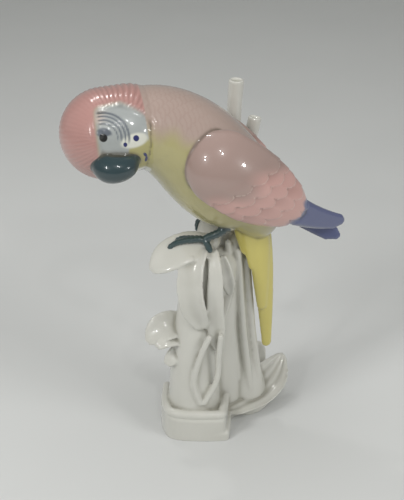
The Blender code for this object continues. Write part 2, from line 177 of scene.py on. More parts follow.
class Forms:
    """Closed skins gathered before they are fused, each sweep kept by name for its relief and paint."""

    def __init__(self):
        self.points = []
        self.faces = []
        self.swept = {}

    def rings(self, rings):
        start = len(self.points)
        sides = len(rings[0])
        for ring in rings:
            self.points.extend(ring)
        for i in range(len(rings) - 1):
            for j in range(sides):
                k = (j + 1) % sides
                low, high = start + i * sides, start + (i + 1) * sides
                self.faces.append((low + j, low + k, high + k, high + j))
        self.faces.append(tuple(start + j for j in reversed(range(sides))))
        self.faces.append(tuple(start + (len(rings) - 1) * sides + j for j in range(sides)))

    def sweep(self, points, side, wide, deep, cup=0.0, blunt=(True, True), name=None):
        """A round-ended bar along points, wide along side, deep across it, its edges raised by cup."""
        steps = [(b - a).length for a, b in zip(points, points[1:])]
        total = sum(steps)
        rings = []
        kept = []
        gone = 0.0
        for i, point in enumerate(points):
            before, after = points[max(i - 1, 0)], points[min(i + 1, len(points) - 1)]
            way = (after - before).normalized()
            across = (side - way * side.dot(way)).normalized()
            out = way.cross(across)
            share = gone / total
            w, d = along(wide, share), along(deep, share)
            end = 1.0
            if blunt[0] and gone < w:
                end = math.sqrt(max(0.03, 1 - (1 - gone / w) ** 2))
            if blunt[1] and total - gone < w:
                end = min(end, math.sqrt(max(0.03, 1 - (1 - (total - gone) / w) ** 2)))
            ring = []
            for j in range(SIDES):
                turn = math.tau * j / SIDES
                x, y = math.cos(turn), math.sin(turn)
                ring.append(point + across * w * end * x + out * (d * end * y + cup * w * end * x * x))
            rings.append(ring)
            kept.append((*point, *across, *out, w * end, d * end, cup, gone))
            gone += steps[i] if i < len(steps) else 0.0
        self.rings(rings)
        if name:
            self.swept[name] = np.array(kept)

    def rod(self, points, *radii, blunt=(True, True), name=None):
        side = (points[-1] - points[0]).orthogonal()
        values = list(radii) if len(radii) > 1 else [radii[0], radii[0]]
        self.sweep(points, side, values, values, blunt=blunt, name=name)

    def ball(self, centre, radius, shape=None, rows=24):
        """A ball, or one whose radius is shape(direction)."""
        rings = []
        for i in range(rows + 1):
            tilt = math.pi * min(max(i / rows, 0.01), 0.99)
            ring = []
            for j in range(2 * rows):
                turn = math.pi * j / rows
                flat = math.sin(tilt)
                way = Vector((flat * math.cos(turn), flat * math.sin(turn), -math.cos(tilt)))
                ring.append(centre + way * (shape(way) if shape else radius))
            rings.append(ring)
        self.rings(rings)

    def slab(self, outline, bottom, top, inset):
        """A closed outline raised from bottom to top, its upper edge drawn in by inset."""
        count = 6 * len(outline)
        closed = outline[-1:] + outline + outline[:2]
        places = [along(closed, (1 + len(outline) * i / count) / (len(closed) - 1)) for i in range(count)]
        middle = sum(places, Vector((0, 0))) / count
        rings = []
        for height, draw in ((bottom, 0.0), (top - inset, 0.0), (top, inset)):
            ring = []
            for place in places:
                at = place + (middle - place).normalized() * draw
                ring.append(Vector((at.x, at.y, height)))
            rings.append(ring)
        self.rings(rings)


def spot(x, y, share):
    """A place in plan, at a share of the stump's height."""
    return Vector((x * MM, y * MM, share * STUMP_HEIGHT))


def plan(pairs):
    return [Vector((x * MM, y * MM)) for x, y in pairs]


# Seen from above, in mm
FOOT_OUTLINE = (
    (-27, -20), (-20, -28), (4, -29), (8, -24), (10, -8), (18, 3), (33, 9),
    (39, 18), (33, 29), (12, 33), (-10, 28), (-24, 14), (-28, -4),
)
BLOCK_OUTLINE = ((-28, -19), (-21, -28), (2, -29), (6, -24), (7, -10), (2, 4), (-20, 4), (-28, -6))
BLOCK_RIM = ((-26, 1), (-26, -18), (-20, -25.5), (1, -26.5), (4, -23), (5, -9), (1, 0))

PERCH = spot(-4, -9, 1.0)
KNOB = spot(-3.2, 2, 1.06)


def foot(forms):
    """The low foot, the square block in front and the raised rim round the block's top."""
    top = BLOCK_HEIGHT - BLOCK_RIM_RADIUS
    forms.slab(plan(FOOT_OUTLINE), -FOOT_BELOW, FOOT_HEIGHT, FOOT_HEIGHT * 0.3)
    forms.slab(plan(BLOCK_OUTLINE), -FOOT_BELOW, top, BLOCK_RIM_RADIUS)
    rim = [Vector((p.x, p.y, top)) for p in plan(BLOCK_RIM)]
    forms.rod(through(*rim), BLOCK_RIM_RADIUS)


BARK_RIDGES = (
    # way round the rear trunk in degrees, then where it starts and ends along the trunk
    (-150, 0.16, 0.86),
    (-105, 0.22, 1.0),
    (-68, 0.12, 0.96),
    (-25, 0.08, 0.9),
)

KNOT_LIP = (
    # share of the front trunk, degrees to each side of the slit, then millimetres along the trunk's lean
    (0.14, 2, 1.8),
    (0.24, 26, 3.8),
    (0.38, 20, 5.8),
    (0.50, 12, 7.8),
)
KNOT_HEADING = -80


def trunks(forms):
    """Two trunks on a common core, with bark ridges, a knot slit and the knob behind the foot."""
    r = FRONT_TRUNK_RADIUS
    front = through(spot(-11, -12, 0.0), spot(-11, -12, 0.45), spot(-9, -11, 0.75), spot(-6, -9, 0.97))
    forms.rod(front, r * 1.28, r * 1.05, r * 0.85, r * 0.75, blunt=(False, True))
    for bow in (-1, 1):
        lip = []
        for at, spread, lean in KNOT_LIP:
            out = heading(KNOT_HEADING + spread * bow, 0) * r * 1.12
            lip.append(along(front, at) + out + Vector((lean * MM, 0, 0)))
        forms.rod(through(*lip), BARK_RIDGE_RADIUS * 0.9)
    core = through(spot(3, 1, 0.0), spot(2, 1, 0.5), spot(2, 1, 0.96))
    forms.rod(core, CORE_RADIUS * 1.3, CORE_RADIUS, CORE_RADIUS * 0.9, blunt=(False, True))
    r = REAR_TRUNK_RADIUS
    rear = through(spot(17, 6, 0.0), spot(13.5, 5, 0.3), spot(10, 5, 0.65), spot(8, 6, 1.01))
    forms.rod(rear, r * 1.55, r, r * 0.9, r * 0.82, blunt=(False, True))
    for turn, low, high in BARK_RIDGES:
        ridge = []
        for at in (low, (low + high) / 2, high):
            ridge.append(along(rear, at) + heading(turn, 0) * r * (1.15 - 0.3 * at))
        forms.rod(through(*ridge), BARK_RIDGE_RADIUS * 1.2, BARK_RIDGE_RADIUS)
    rise = (KNOB - spot(-4, -6, 0.97)).normalized() * KNOB_RADIUS
    forms.rod(through(KNOB - rise * 2, KNOB + rise), KNOB_RADIUS)


def limb(forms):
    """The branch that rises behind the bird, broken off at a slant, and the stub at its side."""
    line = route(spot(10.5, 8, 0.83), LIMB_LENGTH, [(97, 52), (93, 62), (80, 84), (20, 86)])
    r = LIMB_RADIUS
    forms.rod(line, r * 1.8, r * 1.4, r, r, blunt=(True, False), name="limb")
    twig = route(along(line, 0.50), SIDE_TWIG_LENGTH, [(10, 48), (20, 70), (30, 80)])
    forms.rod(twig, SIDE_TWIG_RADIUS, blunt=(True, False), name="side_twig")


LEAVES = (
    # root, length, half width, width shares along it, cup, headings along it, way that its face looks
    # overhanging leaf under the toes
    (spot(-1, -9, 1.02), OVERHANG_LEAF_LENGTH, OVERHANG_LEAF_HALF_WIDTH, (0.7, 0.95, 1, 0.9, 0.35), 0.1,
     ((-156, 12), (-160, 0), (-162, -30), (-162, -45)), (-90, 50)),
    # spoon-shaped leaf down the front
    (spot(-5, -13, 1.02), SPOON_LEAF_LENGTH, SPOON_LEAF_HALF_WIDTH, (0.55, 0.95, 1, 0.95, 0.5), 0.45,
     ((-140, -10), (-107, -68), (20, -75), (21, -65)), (-95, 20)),
    # long leaf beside it
    (spot(-2, -11, 1.01), LONG_LEAF_LENGTH, LONG_LEAF_HALF_WIDTH, (0.6, 0.85, 1, 1, 0.45), 0.3,
     ((-80, -23), (-100, -85), (53, -82), (48, -79)), (-85, 10)),
    # short curled leaf
    (spot(3, -11, 0.98), CURL_LEAF_LENGTH, CURL_LEAF_HALF_WIDTH, (0.6, 1, 1, 0.45), 0.5,
     ((-57, -65), (-46, -72), (57, -76), (51, -77)), (-90, 10)),
    # twig across the trunks
    (spot(8.5, -4, 0.80), TWIG_LENGTH, TWIG_HALF_WIDTH, (1, 1, 0.85, 0.6), 0.0,
     ((-121, -63), (-125, -64), (-128, -66)), (-90, 10)),
    # shell-shaped leaf on the foot
    (spot(4, -13, 0.07), SHELL_LEAF_LENGTH, SHELL_LEAF_HALF_WIDTH, (0.7, 0.95, 1.05, 0.95, 0.25), 0.5,
     ((35, 7), (38, 2), (50, 24), (56, 50)), (-50, 62)),
    # small leaf behind it
    (spot(21, 12, 0.07), REAR_LEAF_LENGTH, REAR_LEAF_HALF_WIDTH, (0.85, 1, 0.85, 0.6), 0.3,
     ((74, 49), (73, 55), (64, 79)), (-80, 10)),
    # fan of three at the left
    (spot(-12, -9, 0.53), FAN_LEAF_LENGTH, FAN_LEAF_HALF_WIDTH, (0.55, 0.95, 1, 0.4), 0.3,
     ((-164, 42), (-162, 24), (-158, -32), (-157, -53)), (-90, 45)),
    (spot(-13, -11, 0.52), FAN_LEAF_LENGTH * 0.72, FAN_LEAF_HALF_WIDTH * 0.6, (0.7, 1, 0.9, 0.45), 0.3,
     ((-144, 15), (-150, 5), (-152, -41)), (-90, 45)),
    (spot(-13, -11, 0.49), FAN_LEAF_LENGTH * 0.64, FAN_LEAF_HALF_WIDTH * 0.55, (0.75, 1, 1, 0.6), 0.2,
     ((-135, -11), (-150, -35), (-165, -61)), (-90, 45)),
)


def leaves(forms):
    """Cupped leaves, each swept from its root."""
    for i, (root, length, half_width, profile, cup, headings, facing) in enumerate(LEAVES):
        line = route(root, length, headings)
        side = (line[-1] - line[0]).cross(heading(*facing)).normalized()
        forms.sweep(line, side, shares(half_width, *profile), [LEAF_THICKNESS] * 2, -cup, name=f"leaf_{i}")


HIP = PERCH + Vector((HIP_BEHIND_PERCH, HIP_INWARD, LEG_HEIGHT + BODY_RADIUS))
TO_NECK = route(HIP, BREAST_LENGTH, [(-175, 44), (-171, 50), (-169, 33), (-160, 5)])
TO_RUMP = route(HIP, RUMP_LENGTH, [(5, -42), (5, -48), (8, -72), (20, -85)])
NECK_WAY = heading(-168, -4)
HEAD = TO_NECK[-1] + NECK_WAY * HEAD_RADIUS * 0.86


def body(forms):
    """Neck, breast and rump in one sweep, the back that narrows to the wing tips, and the thigh."""
    line = list(reversed(TO_NECK)) + TO_RUMP[1:]
    side = heading(*SIDE_HEADING)
    girth = shares(BODY_RADIUS, 0.80, 0.87, 0.94, 0.99, 1.0, 0.95, 0.80, 0.56, 0.34)
    forms.sweep(line, side, girth, girth, blunt=(False, True), name="body")
    back = route(HIP, BACK_LENGTH, [(4, -24), (2, -26), (-6, -30)])
    wide = shares(BODY_RADIUS, 0.90, 0.78, 0.50, 0.18)
    deep = shares(BODY_RADIUS, 0.80, 0.60, 0.36, 0.10)
    forms.sweep(back, side, wide, deep)
    hock = PERCH + Vector((HIP_BEHIND_PERCH * 0.8, HIP_INWARD * 0.2, LEG_HEIGHT))
    forms.rod(through(along(TO_RUMP, 0.30), hock), THIGH_RADIUS * 1.9, THIGH_RADIUS * 0.8, name="thigh")


def head_frame():
    front = heading(*FACE_HEADING)
    crown = heading(*CROWN_HEADING)
    crown = (crown - front * crown.dot(front)).normalized()
    return front, crown.cross(front), crown


def stretched(way, radius):
    """How far a ball of this radius reaches when it is lengthened towards the body."""
    cosine = -way.dot(NECK_WAY)
    sine = math.sqrt(max(0.0, 1 - cosine * cosine))
    if cosine <= 0:
        return radius
    if radius * cosine <= HEAD_LENGTHENING * sine:
        return radius / sine
    return HEAD_LENGTHENING * cosine + math.sqrt(radius**2 - (HEAD_LENGTHENING * sine) ** 2)


def step_up(low, high, value):
    """0 below low, 1 above high and smooth between, for numbers and arrays."""
    share = np.clip((value - low) / (high - low), 0, 1)
    return share * share * (3 - 2 * share)


def face_share(f, c):
    """1 on the face, 0 on the hood, from shares forward and up through the crown."""
    behind = 0.09 + 1.2 * np.maximum(0.0, -c - 0.45)
    above = 0.05 + 0.30 * f
    return step_up(behind - 0.08, behind + 0.12, f) * step_up(c - 0.1, c + 0.08, above)


def hood(way):
    """The head's radius: a hood all round the back, lower on the two cheeks and the face."""
    front, _, crown = head_frame()
    face = float(face_share(way.dot(front), way.dot(crown)))
    return stretched(way, HEAD_RADIUS + HOOD_THICKNESS * (1 - face))


def head(forms):
    """The ball of the head in its hood, with eyes, the hooked beak and the bib below it."""
    front, left, crown = head_frame()
    forms.ball(HEAD, HEAD_RADIUS, hood, rows=90)
    for side in (left, -left):
        eye = (side * 0.75 + front * 0.64 + crown * 0.18).normalized()
        forms.ball(HEAD + eye * (HEAD_RADIUS - EYE_RADIUS * 0.45), EYE_RADIUS)
    r = HEAD_RADIUS
    root = HEAD + (front * 0.62 + crown * 0.20) * r
    bends = ((0, 0), (0.42, 0.02), (0.55, -0.34), (0.32, -0.72))
    beak = through(*[root + (front * ahead + crown * rise) * BEAK_LENGTH for ahead, rise in bends])
    forms.rod(beak, *shares(BEAK_RADIUS, 0.95, 1.0, 0.8, 0.34), name="beak")
    bib = HEAD + (front * 0.62 - crown * 0.55) * r
    chin = through(bib + (front * 0.1 + crown * 0.25) * r, bib - crown * 0.47 * r)
    forms.sweep(chin, left, shares(r, 0.46, 0.66), shares(r, 0.36, 0.40))


def mirrored(points):
    """Points on the bird's other side."""
    axis = TO_RUMP[STATIONS // 2] - TO_NECK[STATIONS // 2]
    normal = axis.cross(heading(*SIDE_HEADING)).cross(axis).normalized()
    far = []
    for point in points:
        near = intersect_line_plane(point, point + normal, HIP, normal)
        far.append(near * 2 - point)
    return far


FLIGHT_FEATHERS = (
    # offset below the wing's middle line in wing half widths, then length as a share of the wing
    (-0.22, 0.98),
    (-0.08, 1.00),
    (0.06, 1.00),
    (0.20, 0.985),
    (0.34, 0.96),
)

TAIL_FEATHERS = (
    # length as a share of the tail, then how far its root is ahead and near the viewer, in tail half widths
    (1.00, 0.0, 0.0),
    (0.68, 0.15, 0.35),
    (0.68, 0.15, -0.45),
    (0.37, 0.5, 0.5),
    (0.26, 0.95, 0.4),
)


def wings(forms):
    """Two folded wings: a full covert shield, and the long flight feathers that leave from under it."""
    out = heading(*SIDE_HEADING)
    shoulder = along(TO_NECK, 0.50) + out * BODY_RADIUS * 0.82
    line = route(shoulder, WING_LENGTH, [(-26, -21), (18, -37), (36, -33), (34, -20)])
    shift = Vector((0, FAR_WING_INWARD, FAR_WING_DROP))
    far = [point - shift * (i / STATIONS) ** 2 for i, point in enumerate(mirrored(line))]
    w, t = WING_HALF_WIDTH, WING_THICKNESS
    last_covert = round(COVERT_SHARE * STATIONS)
    for points, bow, which in ((line, 1, "near"), (far, -1, "far")):
        side = (points[-1] - points[0]).cross(out).normalized()
        wide = shares(w, 0.9, 1.0, 1.03, 1.02, 0.90, 0.70, 0.42)
        deep = shares(t, 1.0, 1.15, 1.1, 1.0, 0.85, 0.7, 0.55)
        forms.sweep(points[:last_covert], side, wide, deep, WING_BOW * bow, name=f"coverts_{which}")
        for n, (low, length) in enumerate(FLIGHT_FEATHERS):
            feather = []
            for i in range(STATIONS // 2, round(STATIONS * length) + 1):
                spread = 1.6 - 1.2 * (i / STATIONS)
                feather.append(points[i] + side * w * low * spread - out * bow * t * 0.12)
            wide = shares(w, 0.24, 0.19, 0.15, 0.11)
            deep = shares(t, 0.5, 0.42, 0.32, 0.2)
            forms.sweep(feather, side, wide, deep, WING_BOW * bow, name=f"flight_{which}_{n}")


def tail(forms):
    """Narrow feathers stepped in length, hanging straight down from the rump."""
    w = TAIL_HALF_WIDTH
    for n, (share, ahead, near) in enumerate(TAIL_FEATHERS):
        start = along(TO_RUMP, 0.70) + Vector((-ahead, -near, 0)) * w
        line = route(start, TAIL_LENGTH * share, [(0, -80), (12, -84), (12, -86), (12, -87)])
        wide = shares(w, 0.9, 0.8, 0.6, 0.35)
        deep = shares(w, 0.45, 0.4, 0.3, 0.2)
        forms.sweep(line, Vector((1, 0.25, 0)), wide, deep, name=f"tail_{n}")


def feet(forms):
    """The near leg with its toes laid along the perch, and the far foot on the knob."""
    ankle = PERCH + Vector((-LEG_RADIUS, -TOE_RADIUS * 1.8, LEG_HEIGHT * 0.74))
    knee = PERCH + Vector((HIP_BEHIND_PERCH, HIP_INWARD * 0.1, LEG_HEIGHT * 1.3))
    forms.rod(through(along(TO_RUMP, 0.12), knee, ankle), LEG_RADIUS * 1.4, LEG_RADIUS, name="foot_leg")
    for n, turn in enumerate((-168, 178)):
        toe = route(ankle, TOE_LENGTH, [(turn, 4), (turn, 0), (turn, -12), (turn, -55)])
        forms.rod(toe, TOE_RADIUS * 1.1, TOE_RADIUS, TOE_RADIUS * 0.8, name=f"foot_toe_{n}")
    back = route(ankle, TOE_LENGTH * 0.4, [(-40, -40), (-60, -70)])
    forms.rod(back, TOE_RADIUS, name="foot_back_toe")
    ways = ((-0.5, 0.1, 0.9), (-0.95, -0.1, 0.4), (-0.95, -0.3, -0.3))
    grip = [KNOB + Vector(way) * KNOB_RADIUS for way in ways]
    forms.rod(through(along(TO_RUMP, 0.10), grip[0]), LEG_RADIUS * 1.4, LEG_RADIUS, name="foot_far_leg")
    forms.rod(through(*grip), TOE_RADIUS, TOE_RADIUS * 0.7, name="foot_far_toe")


def fused(name, makers):
    """One fine rounded mesh from the overlapping forms, cut flat on the floor, and the forms it came from."""
    forms = Forms()
    for make in makers:
        make(forms)
    mesh = bpy.data.meshes.new(name)
    mesh.from_pydata(forms.points, [], forms.faces)
    thing = bpy.data.objects.new(name, mesh)
    bpy.context.scene.collection.objects.link(thing)
    skin = thing.modifiers.new("skin", "REMESH")
    skin.mode = "VOXEL"
    skin.voxel_size = GRID
    soften = thing.modifiers.new("soften", "SMOOTH")
    soften.factor = 0.5
    soften.iterations = ROUNDING_PASSES
    bpy.context.view_layer.update()
    evaluated = thing.evaluated_get(bpy.context.evaluated_depsgraph_get())
    fine = bpy.data.meshes.new_from_object(evaluated)
    thing.modifiers.clear()
    thing.data = fine
    fine.name = name
    bm = bmesh.new()
    bm.from_mesh(fine)
    geometry = bm.verts[:] + bm.edges[:] + bm.faces[:]
    cut = bmesh.ops.bisect_plane(bm, geom=geometry, plane_co=(0, 0, 0), plane_no=(0, 0, -1), clear_outer=True)
    rim = [edge for edge in cut["geom_cut"] if isinstance(edge, bmesh.types.BMEdge)]
    if rim:
        bmesh.ops.triangle_fill(bm, use_beauty=True, edges=rim)
    bm.to_mesh(fine)
    bm.free()
    fine.shade_smooth()
    return thing, forms


def vertex_places(thing):
    places = np.empty(len(thing.data.vertices) * 3)
    thing.data.vertices.foreach_get("co", places)
    return places.reshape(-1, 3)


def vertex_normals(thing):
    normals = np.empty(len(thing.data.vertices) * 3)
    thing.data.vertex_normals.foreach_get("vector", normals)
    return normals.reshape(-1, 3)


def dots(rows, way):
    return rows @ np.array(way, float)


def place_on(form, places):
    """Where each place is on a swept form: mm along it, mm across it, mm outside its skin, share across."""
    line = form[:, 0:3]
    best = np.full(len(places), np.inf)
    nearest = np.zeros(len(places), int)
    between = np.zeros(len(places))
    for i in range(len(line) - 1):
        step = line[i + 1] - line[i]
        t = np.clip((places - line[i]) @ step / (step @ step), 0, 1)
        gap = ((places - line[i] - t[:, None] * step) ** 2).sum(1)
        closer = gap < best
        best[closer] = gap[closer]
        nearest[closer] = i
        between[closer] = t[closer]
    blend = between[:, None]
    row = form[nearest] * (1 - blend) + form[nearest + 1] * blend
    rel = places - row[:, 0:3]
    x = (rel * row[:, 3:6]).sum(1)
    wide = np.maximum(row[:, 9], 0.2 * MM)
    deep = np.maximum(row[:, 10], 0.2 * MM)
    y = (rel * row[:, 6:9]).sum(1) - row[:, 11] * x * x / wide
    way = np.cross(row[:, 3:6], row[:, 6:9])
    over = (rel * way).sum(1)
    reach = np.sqrt((x / wide) ** 2 + (y / deep) ** 2)
    slope = np.sqrt((x / wide**2) ** 2 + (y / deep**2) ** 2)
    outside = reach * (reach - 1) / np.maximum(slope, 1e-6)
    outside = np.where(np.abs(over) > wide * 0.1, np.maximum(outside, np.abs(over)), outside)
    return row[:, 12] / MM, x / MM, outside / MM, x / wide


def nearest_of(forms, prefix, places):
    """The smallest distance outside any of the forms with this prefix, in mm."""
    gap = np.full(len(places), 99.0)
    for name, form in forms.swept.items():
        if name.startswith(prefix):
            low, high = form[:, 0:3].min(0) - 0.02, form[:, 0:3].max(0) + 0.02
            near = ((places > low) & (places < high)).all(1)
            gap[near] = np.minimum(gap[near], place_on(form, places[near])[2])
    return gap


def scales(s, t, rows):
    """Overlapping rounded feathers in rows, for places s mm along and t mm across them.

    Gives the rise towards each tip from 0 to 1, the mm to the tip's edge and a shade for each feather.
    Each row is (start, length, width) in mm.
    """
    rise = np.zeros(len(s))
    edge = np.full(len(s), 9.0)
    tone = np.zeros(len(s))
    free = np.ones(len(s), bool)
    for k, (start, length, width) in enumerate(rows):
        column = np.floor(t / width + 0.5 * (k % 2))
        middle = (column + 0.5 - 0.5 * (k % 2)) * width
        off = np.clip((t - middle) / (width * 0.5), -1, 1)
        tip = start + length * (0.45 + 0.55 * np.sqrt(1 - off**2 * 0.96))
        mine = free & (s < tip)
        rise[mine] = np.clip(1 - (tip - s)[mine] / (length * 1.3), 0, 1)
        edge[mine] = (tip - s)[mine]
        tone[mine] = np.sin(column[mine] * 12.9898 + k * 78.233) * 0.5 + 0.5
        free &= ~mine
    rise[free] = 0.0
    return rise, edge, tone


def hollows(thing, passes=24):
    """Mm that each vertex lies below its smoothed surroundings: above 0 in grooves, below 0 on edges."""
    mesh = thing.data
    places = vertex_places(thing)
    ends = np.empty(len(mesh.edges) * 2, int)
    mesh.edges.foreach_get("vertices", ends)
    a, b = ends[0::2], ends[1::2]
    count = np.bincount(ends, minlength=len(places)).astype(float)
    smooth = places.copy()
    for _ in range(passes):
        total = np.empty_like(smooth)
        for axis in range(3):
            total[:, axis] = np.bincount(a, smooth[b, axis], len(places))
            total[:, axis] += np.bincount(b, smooth[a, axis], len(places))
        smooth = total / count[:, None]
    return ((smooth - places) * vertex_normals(thing)).sum(1) / MM


def set_places(thing, places):
    thing.data.vertices.foreach_set("co", places.ravel())
    thing.data.update()


def keep_field(thing, name, values):
    field = thing.data.attributes.new(name, "FLOAT", "POINT")
    field.data.foreach_set("value", values.astype(np.float32))


def fit_inside(thing, low, high):
    """Draws the mesh in where it would pass the part's box, by hundredths of a millimetre."""
    places = vertex_places(thing)
    for axis in range(3):
        lowest, highest = places[:, axis].min(), places[:, axis].max()
        bottom, top = max(lowest, low[axis]), min(highest, high[axis])
        places[:, axis] = bottom + (places[:, axis] - lowest) * (top - bottom) / (highest - lowest)
    set_places(thing, places)


# The face seen square on, in mm right of and above the head's middle
FACE_UP = Vector((0, 0.5, 0.866))
EYE_AT = (1.2, -4.4)
# centre, radii, tilt in degrees
THROAT_SPOTS = (
    ((15.4, -4.2), (1.35, 1.4), 0),
    ((10.6, -7.1), (0.95, 1.05), 0),
    ((19.1, -10.9), (1.05, 0.75), -50),
    ((18.9, -15.6), (1.0, 0.45), -35),
    ((17.2, -17.6), (0.9, 0.3), 0),
)
# radius round the eye and half width of each grey line, in mm
FACE_LINES = ((6.2, 0.30), (7.9, 0.42), (9.6, 0.42), (11.2, 0.48))


def head_chart(places):
    """For each place: mm right and up on the face chart, shares in the head's frame, mm from its middle."""
    front, left, crown = head_frame()
    rel = places - np.array(HEAD)
    f, side, c = dots(rel, front), np.abs(dots(rel, left)), dots(rel, crown)
    folded = f[:, None] * np.array(front) + side[:, None] * np.array(left) + c[:, None] * np.array(crown)
    far = np.linalg.norm(rel, axis=1)
    return dots(folded, (1, 0, 0)) / MM, dots(folded, FACE_UP) / MM, f / far, side / far, c / far, far / MM


def ridge_turn(f, side, c):
    """The angle round the point that the hood's ridges fan out from."""
    axis = RIDGE_CENTRE.normalized()
    down = axis.cross(Vector((0, 1, 0))).normalized()
    local = np.stack((f, side, c), 1)
    return np.arctan2(dots(local, axis.cross(down)), dots(local, down))


def ellipse_gap(x, y, centre, radii, tilt):
    """Rough mm outside an ellipse, below 0 inside it."""
    a = math.radians(tilt)
    u = (x - centre[0]) * math.cos(a) + (y - centre[1]) * math.sin(a)
    v = (y - centre[1]) * math.cos(a) - (x - centre[0]) * math.sin(a)
    return (np.sqrt((u / radii[0]) ** 2 + (v / radii[1]) ** 2) - 1) * min(radii)


# start, length and width of each row of wing feathers, in mm along and across the wing
WING_ROWS = (
    (27, 7, 8),
    (33, 8, 8),
    (40, 9, 7),
    (48, 11, 7),
    (57, 13, 6),
)
ROW_SLANT = 0.55
# and of the small feathers behind the hood
NAPE_ROWS = tuple((2.2 * n, 3.0, 3.6 + 0.12 * n) for n in range(20))
# from the head's middle back to the crease behind the hood, in mm
CREASE_AT = 17.5
# heights and depths of the bird's relief, in mm
RIDGE_RELIEF = 0.22
FACE_LINE_DEPTH = 0.35
NAPE_RELIEF = 0.16
WING_RELIEF = 0.5
TOE_RING_RELIEF = 0.12
TOE_RING_SPACING = 1.9
# how far round the eye the face lines reach, and how far from the head's middle the throat does, in mm
FACE_REACH = 13
THROAT_REACH = 27
# the throat's white top and its yellow lobe on the face chart: centre, radii, tilt
THROAT_WHITE = ((14.6, -5.2), (6.3, 3.0), 18)
THROAT_LOBE = ((18.4, -12.0), (6.2, 8.2), 10)
BIRD_PARTS = ("coverts_near", "coverts_far", "flight_near", "flight_far", "tail", "foot", "beak", "thigh")


